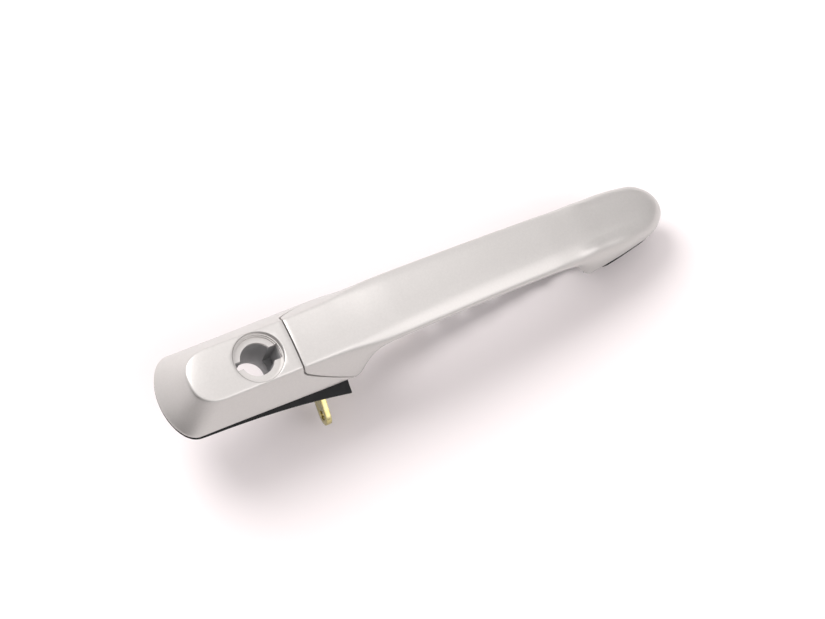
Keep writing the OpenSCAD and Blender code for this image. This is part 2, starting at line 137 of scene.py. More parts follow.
# %% Stations of the long lines
# x, crown height, ridge half-width and height, shoulder half-width and height, rim the same, then
# how far the ridges and the shoulders lean together towards +Y
STATIONS = [
    (-41, 18.3, 11.4, 17.5, 15.4, 6.5, 18.1, 0.0, 0.0, 0.0),
    (-12, 18.3, 11.0, 17.5, 15.2, 9.0, 18.2, 0.0, 0.0, 0.0),
    (15, 18.3, 10.7, 17.5, 14.8, 10.0, 18.5, 0.0, 0.0, 0.0),
    (36, 19.5, 10.9, 18.5, 14.6, 12.0, 18.6, 0.0, 0.1, 0.0),
    (41, 19.9, 11.0, 18.9, 14.4, 13.5, 18.2, 0.6, 0.2, 0.0),
    (46, 20.4, 10.9, 19.4, 14.2, 15.0, 14.8, 7.0, 0.2, 0.0),
    (52, 21.1, 10.9, 20.0, 14.0, 16.2, 11.6, 10.8, 0.3, 0.0),
    (62, 22.0, 10.7, 20.9, 13.8, 17.4, 10.2, 12.5, 0.4, 0.0),
    (100, 23.5, 9.8, 22.3, 13.2, 18.7, 9.5, 13.2, 0.7, 0.0),
    (132, 23.1, 9.2, 21.9, 12.9, 18.2, 9.6, 12.6, 0.8, 0.0),
    (145, 22.3, 8.5, 21.1, 13.0, 17.0, 10.8, 10.6, 1.1, 0.0),
    (150, 21.9, 8.2, 20.6, 13.1, 16.6, 13.0, 4.0, 1.3, 0.1),
    (154, 21.4, 7.9, 20.1, 13.2, 16.2, 14.7, 0.4, 1.4, 0.2),
    (158, 20.8, 7.7, 19.5, 13.1, 15.6, 14.4, 0.3, 1.5, 0.3),
    (170, 18.9, 7.2, 17.7, 13.0, 13.9, 12.6, 0.3, 1.8, 0.7),
    (184, 16.2, 6.0, 15.3, 11.4, 11.2, 9.8, 0.5, 2.2, 1.5),
    (199, 12.8, 4.9, 11.9, 8.8, 8.8, 7.1, 1.6, 2.4, 1.8),
]
CROWN, RIDGE, SHOULDER, RIM = 1, 2, 4, 6
LEAN = {CROWN: 8, RIDGE: 8, SHOULDER: 9}
CAP_END, NOSE_END = -41, 198.6
# left end, right end, length of each round end, and how square the left end is
LINE_ENDS = {CROWN: (-20.4, 186, 1, 1, 2), RIDGE: (-30.4, 191.4, 13, 12, 2.4),
             SHOULDER: (-36.3, 195.3, 12, 12.5, 2.2), RIM: (CAP_END, NOSE_END, 10.5, 16, 2.0)}


def curve(x, column):
    """Smooth curve through one column of STATIONS."""
    i = max(k for k in range(len(STATIONS) - 1) if k == 0 or STATIONS[k][0] <= x)
    a, b = STATIONS[i], STATIONS[i + 1]

    def slope(k):
        low, high = STATIONS[max(0, k - 1)], STATIONS[min(len(STATIONS) - 1, k + 1)]
        return (high[column] - low[column]) / (high[0] - low[0])

    h = b[0] - a[0]
    u = min(1, max(0, (x - a[0]) / h))
    m, n = slope(i) * h, slope(i + 1) * h
    return (a[column] * (1 + 2 * u) * (1 - u) ** 2 + m * u * (1 - u) ** 2
            + b[column] * u * u * (3 - 2 * u) - n * u * u * (1 - u))


def round_end(distance, reach, squareness=2):
    if distance >= reach:
        return 1.0
    return 0.0 if distance <= 0 else (1 - (1 - distance / reach) ** squareness) ** (1 / squareness)


def line_x(x, line):
    """A line's own x at a station: lines above the rim start later and end sooner."""
    left, right = LINE_ENDS[line][:2]
    start = min(1, max(0, (-12 - x) / (-12 - CAP_END)))
    stop = min(1, max(0, (x - 170) / (NOSE_END - 170)))
    return x + (left - CAP_END) * start + (right - NOSE_END) * stop


def half_width(own_x, line):
    left, right, left_reach, right_reach, square = LINE_ENDS[line]
    ends = (round_end(own_x - left, left_reach, square) * round_end(right - own_x, right_reach))
    return curve(own_x, line) * ends


def lean(own_x, line):
    return curve(own_x, LEAN[line]) if line in LEAN else 0.0


def line_point(x, line, side=1):
    own_x = line_x(x, line)
    return Vector((own_x, lean(own_x, line) + side * half_width(own_x, line),
                   curve(own_x, line + 1)))


def top_height(own_x, y):
    """Height of the gently crowned top."""
    low = curve(own_x, RIDGE + 1)
    left, right = LINE_ENDS[RIDGE][:2]
    edge = round_end(own_x - left, 9) * round_end(right - own_x, 14)
    part = (y - lean(own_x, RIDGE)) / max(half_width(own_x, RIDGE), 0.01)
    return low + (curve(own_x, CROWN) - low) * edge * max(0, 1 - part * part)


print("crown at the middle of the grip:", round(curve(100, CROWN), 2), "mm")

# %% [markdown]
# ## Wrapping a grid round the lines
# A grid primitive is the natural start for a long moulding: one direction runs along the handle, the
# other from the middle of the top, over the ridge and down the side. Every vertex is moved to its
# place on the lines. The ridge is a small fillet, crisp on the cap's flat top and softer along the
# grip, so it catches the light as a narrow highlight.

# %% Points across half the section
TOP_FRACTIONS = [0, 0.2, 0.4, 0.6, 0.78, 0.91]
FILLET_STEPS = 6
SIDE_STEPS = 14
SECTION_POINTS = len(TOP_FRACTIONS) + FILLET_STEPS + 1 + SIDE_STEPS


def side_point(x, v, side):
    """Point on the side: v is 0 at the ridge, 0.5 at the shoulder and 1 at the rim."""
    ridge, shoulder, rim = (line_point(x, line, side) for line in (RIDGE, SHOULDER, RIM))
    return ridge * (1 - v) * (1 - 2 * v) + shoulder * 4 * v * (1 - v) + rim * v * (2 * v - 1)


def ease(t):
    """Smooth step from 0 to 1."""
    t = min(1, max(0, t))
    return t * t * (3 - 2 * t)


def fillet_size(x):
    """How far the ridge's fillet reaches: crisp on the cap, softer along the grip, less at the nose."""
    return 0.8 + 1.8 * ease((x - 10) / 60) - 1.2 * ease((x - 130) / 30)


def section_point(x, k, side=1):
    """Point k of the half section at a station, from the crown (0) to the rim."""
    corner = line_point(x, RIDGE, side)
    own_x = line_x(x, CROWN)
    crown = Vector((own_x, lean(own_x, CROWN), 0))
    flat = Vector((corner.x, corner.y, 0))
    radius = min(fillet_size(corner.x), 0.4 * (flat - crown).length)
    inner = flat + (crown - flat).normalized() * radius
    if k < len(TOP_FRACTIONS):
        place = crown.lerp(inner, TOP_FRACTIONS[k])
        return Vector((place.x, place.y, top_height(place.x, place.y)))
    inner.z = top_height(inner.x, inner.y)
    fall = min(0.3, 0.5 * radius / (line_point(x, SHOULDER, side) - corner).length)
    outer = side_point(x, fall, side)
    k -= len(TOP_FRACTIONS)
    if k <= FILLET_STEPS:
        t = k / FILLET_STEPS
        return inner * (1 - t) ** 2 + corner * 2 * t * (1 - t) + outer * t * t
    return side_point(x, fall + (1 - fall) * (k - FILLET_STEPS) / SIDE_STEPS, side)


# %% The parting line between cap and grip
PART_X, PART_Z, PART_FOOT = 15.0, 13.6, 38.0
PART_GAP = 0.5


def part_x(z, gap):
    """Where cap and grip part, at a height: upright on top, slanted down the sides."""
    slanted = (PART_FOOT - PART_X) * (PART_Z + gap - z) / (PART_Z + gap)
    return PART_X + gap + (slanted + math.sqrt(slanted * slanted + 1.6)) / 2


def meet_parting(k, side, gap):
    x = PART_X
    for _ in range(8):
        x = part_x(section_point(x, k, side).z, gap)
    return x


# %% Rows of points and the grid that takes them
def grid_from_rows(name, rows):
    """A grid primitive whose vertices are moved to the rows' points (all rows the same length)."""
    deselect_all()
    along, across = len(rows), len(rows[0])
    bpy.ops.mesh.primitive_grid_add(x_subdivisions=across - 1, y_subdivisions=along - 1, size=1)
    piece = named(name)
    vertices = piece.data.vertices
    order = sorted(range(len(vertices)),
                   key=lambda i: (round(vertices[i].co.y, 6), round(vertices[i].co.x, 6)))
    for i, point in zip(order, (p for row in rows for p in row)):
        vertices[i].co = point * MM
    return piece


def shell_rows(count, low, high, low_gap=None, high_gap=None):
    """Whole sections from one station to another; a gap bends that end to the parting line."""
    if low_gap is None:
        steps = [1 - math.cos(math.pi / 2 * j / count) for j in range(count + 1)]
    else:
        steps = [math.sin(math.pi / 2 * j / count) for j in range(count + 1)]
    around = [(k, -1) for k in range(SECTION_POINTS - 1, 0, -1)] + [(k, 1) for k in range(SECTION_POINTS)]
    columns = []
    for k, side in around:
        a = low if low_gap is None else meet_parting(k, side, low_gap)
        b = high if high_gap is None else meet_parting(k, side, high_gap)
        columns.append([section_point(a + (b - a) * t, k, side) for t in steps])
    return [list(row) for row in zip(*columns)]


WALL = 2.2


def moulding(name, rows):
    """A thin-walled moulding from its outer skin, with fine rounded rims."""
    piece = grid_from_rows(name, rows)
    merge_and_face_out(piece)
    modify(piece, "SOLIDIFY", thickness=WALL * MM, offset=-1, use_rim=True, use_even_offset=False)
    modify(piece, "BEVEL", width=0.28 * MM, segments=2, limit_method="ANGLE",
           angle_limit=math.radians(55), use_clamp_overlap=False)
    return piece


def plate(name, outline, push):
    """A flat plate from a circle primitive: its corners moved to an outline, then extruded."""
    deselect_all()
    bpy.ops.mesh.primitive_circle_add(vertices=len(outline), radius=1, fill_type="NGON")
    piece = named(name)
    for vertex, point in zip(piece.data.vertices, outline):
        vertex.co = Vector(point) * MM
    bpy.ops.object.mode_set(mode="EDIT")
    bpy.ops.mesh.select_all(action="SELECT")
    bpy.ops.mesh.extrude_region_move(TRANSFORM_OT_translate={"value": Vector(push) * MM})
    bpy.ops.mesh.select_all(action="SELECT")
    bpy.ops.mesh.normals_make_consistent(inside=False)
    bpy.ops.object.mode_set(mode="OBJECT")
    return piece


def turned(name, profile, steps=96):
    """A turned piece about the lock axis, spun from a profile of (radius, height) points."""
    deselect_all()
    bpy.ops.mesh.primitive_circle_add(vertices=len(profile), radius=1, fill_type="NOTHING")
    piece = named(name)
    bpy.ops.object.mode_set(mode="EDIT")
    bpy.ops.mesh.select_all(action="DESELECT")
    bpy.ops.object.mode_set(mode="OBJECT")
    for vertex, (radius, height) in zip(piece.data.vertices, profile):
        vertex.co = Vector((radius, 0, height)) * MM
    on_axis = [radius == 0 for radius, _ in profile]
    for edge in piece.data.edges:
        edge.select = all(on_axis[i] for i in edge.vertices)
    bpy.ops.object.mode_set(mode="EDIT")
    bpy.ops.mesh.delete(type="EDGE_FACE")
    bpy.ops.mesh.select_all(action="SELECT")
    bpy.ops.mesh.spin(steps=steps, angle=2 * math.pi, center=(0, 0, 0), axis=(0, 0, 1))
    bpy.ops.mesh.select_all(action="SELECT")
    bpy.ops.mesh.remove_doubles(threshold=0.002 * MM)
    bpy.ops.mesh.normals_make_consistent(inside=False)
    bpy.ops.object.mode_set(mode="OBJECT")
    return piece


# %% [markdown]
# ## The end cap
# The cap is one painted moulding: a flat tongue-shaped top with a crisp edge, hollow skirts that
# flare down to the door, and a stepped round recess for the lock. The grid runs from the cap's round
# end to the parting line, and Solidify gives it the wall of a moulding. The recess is turned on the
# spin tool: a plug is joined on for the wall of the recess, and a stepped cutter opens it up.

# %% The cap's shell
LEDGE_Z = 14.2
RECESS_R = 10.4
LOCK_R = 7.0
cap = moulding("end_cap", shell_rows(44, CAP_END, PART_X, high_gap=0.0))

# %% End wall behind the parting line
part_outline = [section_point(PART_X, k) for k in range(SECTION_POINTS)]
wall_inset = 1.0


def inset_outline(low, x):
    """Half section at the parting line, a little inside the skin, down to a height."""
    near = [Vector((x, max(0, p.y - wall_inset), p.z - wall_inset)) for p in part_outline if p.z > low]
    near[0].y = 0
    near.append(Vector((x, near[-1].y, low)))
    return near + [Vector((p.x, -p.y, p.z)) for p in reversed(near[1:])]


end_wall = plate("cap_end_wall", inset_outline(6, PART_X - 0.1), (-1.8, 0, 0))
cut_or_join(cap, end_wall, "UNION")

# %% The recess for the lock
plug = turned("recess_plug", [(0, LEDGE_Z - 1.6), (RECESS_R + 1.6, LEDGE_Z - 1.6),
                              (RECESS_R + 1.5, 14.6), (RECESS_R + 0.4, 16.9), (0, 16.9)])
cut_or_join(cap, plug, "UNION")
# steps in the wall, then a small round edge where the recess breaks through the top
cutter_profile = [(0, LEDGE_Z), (RECESS_R - 1.0, LEDGE_Z), (RECESS_R - 0.95, 15.1),
                  (RECESS_R - 0.6, 15.15), (RECESS_R - 0.55, 16.1), (RECESS_R - 0.15, 16.15),
                  (RECESS_R - 0.1, 17.3), (RECESS_R, 17.65), (RECESS_R + 0.1, 17.95),
                  (RECESS_R + 0.32, 18.2), (RECESS_R + 0.75, 18.42), (RECESS_R + 1.2, 18.6), (0, 18.6)]
cutter = turned("recess_cutter", cutter_profile, steps=120)
CUTTER_LIFT_FROM, CUTTER_CROWN, CUTTER_REACH = 17.2, 18.3, 10.6
for vertex in cutter.data.vertices:
    if vertex.co.z > CUTTER_LIFT_FROM * MM:
        x, y = vertex.co.x / MM, vertex.co.y / MM
        vertex.co.z += (top_height(x, min(abs(y), CUTTER_REACH)) - CUTTER_CROWN) * MM
cut_or_join(cap, cutter, "DIFFERENCE")


NOTCH_WIDE, NOTCH_NARROW = 3.0, 1.7
NOTCH_RIGHT_END, NOTCH_LEFT_END = 9.6, -9.4
KEY_ARC_STEPS = 28


def key_hole_outline(z):
    """Round hole with a wide notch towards the grip and a narrow one towards the cap's end."""
    right = math.degrees(math.asin(NOTCH_WIDE / LOCK_R))
    left = math.degrees(math.asin(NOTCH_NARROW / LOCK_R))
    top = [right + (180 - left - right) * t / KEY_ARC_STEPS for t in range(KEY_ARC_STEPS + 1)]
    arc = [(LOCK_R * math.cos(math.radians(a)), LOCK_R * math.sin(math.radians(a)), z) for a in top]
    half = [(NOTCH_RIGHT_END, NOTCH_WIDE, z)] + arc + [(NOTCH_LEFT_END, NOTCH_NARROW, z)]
    return half + [(x, -y, z) for x, y, _ in reversed(half)]


key_cutter = plate("key_cutter", key_hole_outline(LEDGE_Z - 4), (0, 0, 8))
cut_or_join(cap, key_cutter, "DIFFERENCE")
print("end cap:", len(cap.data.polygons), "faces")

# %% Screw bosses inside the cap
CAP_SCREWS = [(-24, 0), (12.8, 10.5), (12.8, -10.5)]
for number, (x, y) in enumerate(CAP_SCREWS):
    boss = turned("cap_boss_%d" % number, [(1.35, -7), (2.6, -7), (2.8, -6.6), (2.8, 16 if x < 0 else 9),
                                          (1.35, 8)], steps=32)
    for vertex in boss.data.vertices:
        vertex.co += Vector((x, y, 0)) * MM
    make_active(cap)
    boss.select_set(True)
    bpy.ops.object.join()
smooth_by_angle(cap)
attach(cap, "base")
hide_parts("cap_shell")
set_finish(cap, "silver_paint")

# %% [markdown]
# ## The grip
# The grip is the second painted moulding. It starts half a millimetre beyond the cap, bulges where
# the hand takes hold, arches over the finger gap and comes down to its foot at the nose. It is made
# like the cap, with a slanted end wall that slides over the cap's when the grip is pulled.

# %% The grip's shell and end walls
grip = moulding("grip_outer", shell_rows(180, PART_X, NOSE_END, low_gap=PART_GAP))
start = PART_X + PART_GAP
upright = plate("grip_end_wall", inset_outline(PART_Z, start + 0.1), (1.8, 0, 0))
cut_or_join(grip, upright, "UNION")
foot_x = 29.5
foot_z = (PART_Z + PART_GAP) * (1 - (foot_x - start) / (PART_FOOT - PART_X))
head_x = start + 0.15
head_half, foot_half = 11.0, 13.6
slanted = plate("grip_slanted_wall",
                [(head_x, head_half, PART_Z), (foot_x, foot_half, foot_z),
                 (foot_x, -foot_half, foot_z), (head_x, -head_half, PART_Z)], (1.6, 0, 1.6))
cut_or_join(grip, slanted, "UNION")
smooth_by_angle(grip)
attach(grip, "grip")
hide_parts("grip_shell")
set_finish(grip, "silver_paint")
print("grip:", len(grip.data.polygons), "faces")

# %% [markdown]
# ## The inner cover of the grip
# The fingers touch a separate dark moulding that closes the grip from below. A strip of grid is laid
# along the rim's line, slightly crowned across, and thickened upwards. Two countersinks take the
# screws that hold it.

# %% Grip cover
COVER_SCREWS = [68, 128]
COVER_START, COVER_STOP, COVER_STEPS = 39, 153.5, 90
COVER_INSET, COVER_RISE, COVER_DIP = 2.4, 0.6, 0.4
across_cover = [-1, -0.97, -0.85, -0.6, -0.3, 0, 0.3, 0.6, 0.85, 0.97, 1]
cover_rows = []
for j in range(COVER_STEPS + 1):
    x = COVER_START + (COVER_STOP - COVER_START) * j / COVER_STEPS
    width, height = half_width(x, RIM) - COVER_INSET, curve(x, RIM + 1)
    cover_rows.append([Vector((x, width * t, height + COVER_RISE - COVER_DIP * (1 - t * t)))
                       for t in across_cover])
cover = grid_from_rows("grip_inner_cover", cover_rows)
merge_and_face_out(cover)
if cover.data.polygons[0].normal.z > 0:
    cover.data.flip_normals()
modify(cover, "SOLIDIFY", thickness=1.9 * MM, offset=-1, use_rim=True)
round_edges(cover, 0.25, angle=50)
for x in COVER_SCREWS:
    height = curve(x, RIM + 1)
    sink = turned("cover_sink", [(0, -2), (3.2, -2), (3.2, 1.0), (1.5, 1.0), (1.5, 6), (0, 6)], steps=40)
    for vertex in sink.data.vertices:
        vertex.co += Vector((x, 0, height)) * MM
    cut_or_join(cover, sink, "DIFFERENCE")
smooth_by_angle(cover, 40)
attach(cover, "grip")
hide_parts("grip_cover")
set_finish(cover, "dark_plastic")

# %% [markdown]
# ## Rubber gaskets
# Two gaskets keep the handle off the door's paint. The rear one is a moulded lip that follows the
# cap's rim and flares towards the grip on the lower side. The front one is a flat ring under the
# foot. Both are a closed section swept along an outline, so each starts as a ring of grid rows whose
# seams are merged.

# %% Rear gasket
GASKET_END = 36.0


def gasket_part(x):
    """How far along the gasket a station lies, from 0 at the cap's round end to 1."""
    return max(0, (x - CAP_END) / (GASKET_END - CAP_END))


def gasket_depth(x):
    """The gasket deepens towards the grip."""
    return 1.7 + 4.5 * gasket_part(x) ** 1.3


def gasket_flare(x, side):
    """How far the lip stands out beyond the rim: it flares on the lower side only."""
    along = gasket_part(x)
    return 0.65 * min(1, 6 * along) + 4.2 * along ** 3 - 0.25 if side < 0 else -0.25


def rim_normal(x, side):
    step = 0.01
    a, b = half_width(x - step, RIM), half_width(x + step, RIM)
    normal = Vector((-(b - a), 2 * step * side, 0)) if x - CAP_END > 0.05 else Vector((-1, 0, 0))
    return normal.normalized()


def gasket_ring(x, side):
    """Closed section of the rear gasket: web on top, rolled lip below."""
    d, f = gasket_depth(x), gasket_flare(x, side)
    base = Vector((x, side * half_width(x, RIM), 0))
    normal = rim_normal(x, side)
    lip = min(0.45, 0.14 * d + 0.1)
    profile = [(-0.3, -0.12), (-0.42, -0.17), (-0.75, -0.3 * d), (-0.7, -0.48 * d),
               (0.5 * f - 0.4, -0.68 * d), (f - 0.15, -0.8 * d), (f, -d + lip * 0.5),
               (f - 0.25, -d), (-3.6, -d), (-4, -d + 0.3), (-4, -0.3), (-3.8, -0.12)]
    return [base + normal * s + Vector((0, 0, z)) for s, z in profile]


GASKET_STEPS = 64
gasket_rows = []
for j in range(-GASKET_STEPS, GASKET_STEPS + 1):
    t = abs(j) / GASKET_STEPS
    x = CAP_END + (GASKET_END - CAP_END) * (1 - math.cos(math.pi / 2 * t))
    ring = gasket_ring(max(x, CAP_END + 1e-4), -1 if j < 0 else 1)
    if j == 0:
        both = gasket_ring(CAP_END, -1)
        ring = [Vector((p.x, 0, (p.z + q.z) / 2)) for p, q in zip(ring, both)]
    gasket_rows.append(ring + ring[:1])
rear_gasket = grid_from_rows("rear_gasket_lip", gasket_rows)
merge_and_face_out(rear_gasket, 0.001)
make_active(rear_gasket)
bpy.ops.object.mode_set(mode="EDIT")
bpy.ops.mesh.select_all(action="DESELECT")
bpy.ops.mesh.select_non_manifold()
bpy.ops.mesh.fill_holes(sides=0)
bpy.ops.mesh.select_all(action="SELECT")
bpy.ops.mesh.normals_make_consistent(inside=False)
bpy.ops.object.mode_set(mode="OBJECT")
round_edges(rear_gasket, 0.2, angle=60)
smooth_by_angle(rear_gasket, 45)
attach(rear_gasket, "base")
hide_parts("rear_gasket")
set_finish(rear_gasket, "black_rubber")

# %% Front gasket
RING_STEPS = 72
RING_START, RING_INNER_START = 153.2, 156
TUCK_IN, TUCK_FROM, TUCK_LENGTH = 2, 157, 8


def tuck(x):
    """How far the ring is tucked in behind the foot's rear corners."""
    return TUCK_IN * (1 - ease((x - TUCK_FROM) / TUCK_LENGTH))


def foot_point(t, grow, start):
    """Point on the foot's outline: t runs from 0 at the rear corner round the nose to 1."""
    side = 1 if t <= 0.5 else -1
    u = 1 - abs(2 * t - 1)
    x = start + (NOSE_END - start) * math.sin(math.pi / 2 * u)
    if u >= 1:
        return Vector((NOSE_END + grow, 0, 0))
    base = Vector((x, side * (half_width(x, RIM) - tuck(x)), 0))
    return base + rim_normal(min(x, NOSE_END - 0.02), side) * grow


ring_profile = [(0.1, -1.6), (0.4, -1.35), (0.4, -0.25), (0.15, 0), (-1.45, 0), (-1.6, -0.2),
                (-1.6, -1.4), (-1.45, -1.6)]
ring_rows = []
for j in range(RING_STEPS + 1):
    row = []
    for grow, z in ring_profile + ring_profile[:1]:
        start = RING_START if grow > -1 else RING_INNER_START
        row.append(foot_point(j / RING_STEPS, grow, start) + Vector((0, 0, z)))
    ring_rows.append(row)
ring_rows.append(ring_rows[0])
front_gasket = grid_from_rows("front_gasket_ring", ring_rows)
merge_and_face_out(front_gasket, 0.002)
smooth_by_angle(front_gasket, 45)
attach(front_gasket, "base")
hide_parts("front_gasket")
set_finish(front_gasket, "black_rubber")
print("gaskets:", len(rear_gasket.data.polygons), "and", len(front_gasket.data.polygons), "faces")

# %% [markdown]
# ## Mechanical parts
# The carrier, lock tube, lever, pins, screws and inserts are right as the CAD has them, but a real
# edge is never knife sharp. Each gets a copy of its mesh with flat faces made whole, and a fine
# bevel that is as wide as the part's making leaves it: wider on castings, finer on turned steel.


# %% Copies with fine rounded edges
def with_fine_edges(node, body, slot, width):
    mesh = frame["nodes"][node].data.copy()
    piece = bpy.data.objects.new(node + "_finished", mesh)
    bpy.context.scene.collection.objects.link(piece)
    make_active(piece)
    bpy.ops.object.mode_set(mode="EDIT")
    bpy.ops.mesh.select_all(action="SELECT")
    bpy.ops.mesh.remove_doubles(threshold=0.001 * MM)
    bpy.ops.mesh.dissolve_limited(angle_limit=math.radians(1))
    bpy.ops.object.mode_set(mode="OBJECT")
    round_edges(piece, width)
    smooth_by_angle(piece)
    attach(piece, body)
    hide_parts(node)
    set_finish(piece, slot)
    return piece


FINE_EDGES = {
    "lock_housing": ("base", "grey_plastic", 0.3), "carrier": ("base", "black_nylon", 0.35),
    "cap_screws": ("base", "zinc_screw", 0.12), "housing_screws": ("base", "zinc_screw", 0.12),
    "lever_pin": ("base", "steel", 0.15), "lever_clip": ("base", "spring_steel", 0.08),
    "front_pin": ("base", "steel", 0.12), "front_clip": ("base", "spring_steel", 0.06),
    "rail_inserts": ("base", "brass_insert", 0.15), "rear_insert": ("base", "brass_insert", 0.15),
    "core_plate": ("grip", "steel", 0.15), "hinge_arm": ("grip", "cast_zinc", 0.35),
    "hinge_bush": ("grip", "white_acetal", 0.1), "tail_hook": ("grip", "cast_zinc", 0.35),
    "arm_screws": ("grip", "zinc_screw", 0.1), "hook_screws": ("grip", "zinc_screw", 0.1),
    "cover_screws": ("grip", "zinc_screw", 0.1), "release_lever": ("lever", "yellow_zinc", 0.35),
    "lever_bush": ("lever", "white_acetal", 0.1)}
finished = {node: with_fine_edges(node, *how) for node, how in FINE_EDGES.items()}
print("pieces with fine edges:", len(finished))

# %% The carrier's two rear corners are cut off at a slant
CORNER_X, CORNER_X_END = -37, -28
CORNER_Y, CORNER_Y_END = 7.5, 14.5
CORNER_BOTTOM, CORNER_HEIGHT = -12, 7
for side in (-1, 1):
    triangle = [(CORNER_X, side * CORNER_Y, CORNER_BOTTOM), (CORNER_X, side * CORNER_Y_END, CORNER_BOTTOM),
                (CORNER_X_END, side * CORNER_Y_END, CORNER_BOTTOM)]
    corner = plate("carrier_corner_cutter", triangle, (0, 0, CORNER_HEIGHT))
    cut_or_join(finished["carrier"], corner, "DIFFERENCE")
smooth_by_angle(finished["carrier"])

# %% [markdown]
# ## The torsion spring
# A spring is one round wire, so a curve with a round bevel makes it: nearly three turns about the
# lever's pin, one straight leg up to the carrier and one along the lever's inner arm to its peg.

# %% Torsion spring
LEVER_Y, LEVER_Z = -9.0, -22.0
SPRING_R, WIRE_R, SPRING_LEG, INNER_SLOPE = 3.5, 0.5, 11, 22.75
SPRING_TURN, COIL_STEPS = 990 + INNER_SLOPE, 90
COIL_X, COIL_LENGTH, UPRIGHT_LEG = 23.6, 2.5, 10.8
coil = []
for j in range(COIL_STEPS + 1):
    turned_by = math.radians(SPRING_TURN * j / COIL_STEPS)
    coil.append((COIL_X + COIL_LENGTH * j / COIL_STEPS, SPRING_R * math.cos(turned_by),
                 -SPRING_R * math.sin(turned_by)))
slope = math.radians(INNER_SLOPE)
leg_end = (coil[-1][0], coil[-1][1] + SPRING_LEG * math.cos(slope),
           coil[-1][2] - SPRING_LEG * math.sin(slope))
wire_path = [(COIL_X, SPRING_R, UPRIGHT_LEG)] + coil + [leg_end]
wire = bpy.data.curves.new("lever_spring_wire", "CURVE")
wire.dimensions = "3D"
wire.bevel_depth, wire.bevel_resolution, wire.use_fill_caps = WIRE_R * MM, 3, True
spline = wire.splines.new("POLY")
spline.points.add(len(wire_path) - 1)
for point, (x, y, z) in zip(spline.points, wire_path):
    point.co = (x * MM, (y + LEVER_Y) * MM, (z + LEVER_Z) * MM, 1)
spring = bpy.data.objects.new("lever_spring_wire", wire)
bpy.context.scene.collection.objects.link(spring)
make_active(spring)
bpy.ops.object.convert(target="MESH")
smooth_by_angle(spring, 60)
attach(spring, "base")
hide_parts("lever_spring")
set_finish(spring, "spring_steel")


# %% [markdown]
# ## Finishes
# Every finish is built from what the real one is. Patterns read Object coordinates, so they stay on
# the piece in every view, and their scale comes from a size in millimetres. Flake, fibres, eroded
# grain, grinding marks and pits are finer than a picture can show, so they are drawn coarser than
# they are: 0.6 to 0.9 mm wide.

# %% Helpers for materials
def srgb(code):
    """A hex colour such as #C0C0C2, as linear red, green, blue and alpha."""
    values = [int(code[i:i + 2], 16) / 255 for i in (1, 3, 5)]
    return tuple(v / 12.92 if v <= 0.04045 else ((v + 0.055) / 1.055) ** 2.4 for v in values) + (1,)


def add(tree, kind, settings=None, sockets=None):
    """Adds a node with its settings, and values or links on its sockets."""
    node = tree.nodes.new(kind)
    for key, value in (settings or {}).items():
        setattr(node, key, value)
    for key, value in (sockets or {}).items():
        if isinstance(value, bpy.types.NodeSocket):
            tree.links.new(value, node.inputs[key])
        else:
            node.inputs[key].default_value = value
    return node


def per_metre(size_mm):
    """Texture scale for a pattern whose grains are about this wide."""
    return 1 / (size_mm * MM)


def finish(name, colours, grain, roughness, bump=0.0, metallic=0.0, coat=0.0, specular=0.5,
           stretch=(1, 1, 1)):
    """A finish with a two-colour grain, uneven roughness and a fine bump."""
    material = bpy.data.materials.new(name)
    material.use_nodes = True
    tree = material.node_tree
    shader = tree.nodes["Principled BSDF"]
    place = add(tree, "ShaderNodeTexCoord").outputs["Object"]
    if stretch != (1, 1, 1):
        place = add(tree, "ShaderNodeMapping", sockets={"Vector": place, "Scale": stretch}).outputs[0]
    noise = add(tree, "ShaderNodeTexNoise", sockets={
        "Vector": place, "Scale": per_metre(grain), "Detail": 3.0}).outputs["Fac"]
    mixed = add(tree, "ShaderNodeMix", {"data_type": "RGBA"}, {
        0: noise, 6: srgb(colours[0]), 7: srgb(colours[1])}).outputs[2]
    tree.links.new(mixed, shader.inputs["Base Color"])
    low, high = roughness
    rough = add(tree, "ShaderNodeMapRange", sockets={
        "Value": noise, "From Min": 0.3, "From Max": 0.7, "To Min": low, "To Max": high}).outputs[0]
    tree.links.new(rough, shader.inputs["Roughness"])
    if bump:
        relief = add(tree, "ShaderNodeBump", sockets={
            "Height": noise, "Strength": bump, "Distance": 0.1 * MM}).outputs[0]
        tree.links.new(relief, shader.inputs["Normal"])
    shader.inputs["Metallic"].default_value = metallic
    shader.inputs["Coat Weight"].default_value = coat
    shader.inputs["Coat Roughness"].default_value = 0.16
    shader.inputs["Specular IOR Level"].default_value = specular
    return material


